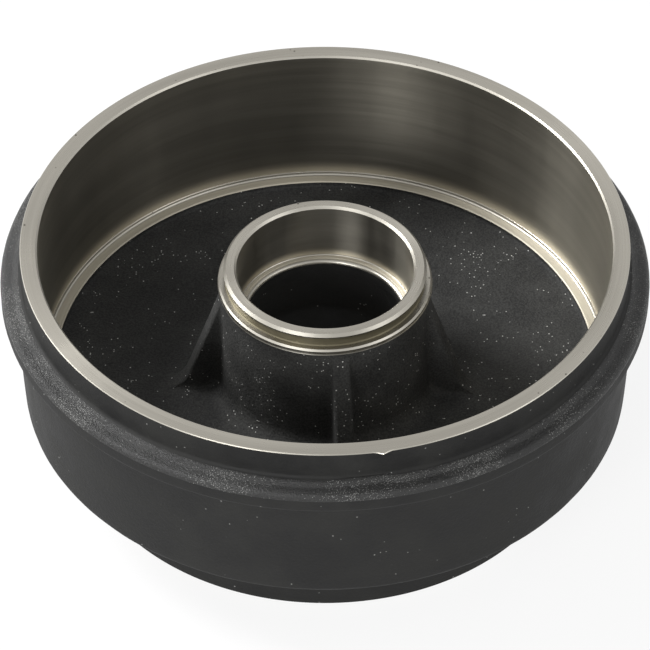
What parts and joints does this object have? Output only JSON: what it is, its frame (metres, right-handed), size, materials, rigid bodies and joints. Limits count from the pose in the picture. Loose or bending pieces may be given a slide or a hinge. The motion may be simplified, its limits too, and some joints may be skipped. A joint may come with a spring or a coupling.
{
  "type": "brake drum",
  "caption": "Hub-type brake drum: a deep cast drum with a central bearing hub, gusset ribs, a stiffening band round the outside and a wheel-mounting face with tapped holes.",
  "frame": {"origin": "centre of the wheel-mounting face, on the wheel axis", "axes": "+Z along the wheel axis from the wheel side to the open mouth on the brake side; the casting has a rib close to each of the +X, +Y, -X and -Y directions"},
  "size_m": [0.3404, 0.3404, 0.138],
  "materials": {
    "cast_iron": "black satin over the as-cast surfaces, bare machined metal at the mouth, brake track, hub end and bearing seats"
  },
  "bodies": {
    "root": {"brake_drum": "cast_iron"}
  },
  "joints": []
}
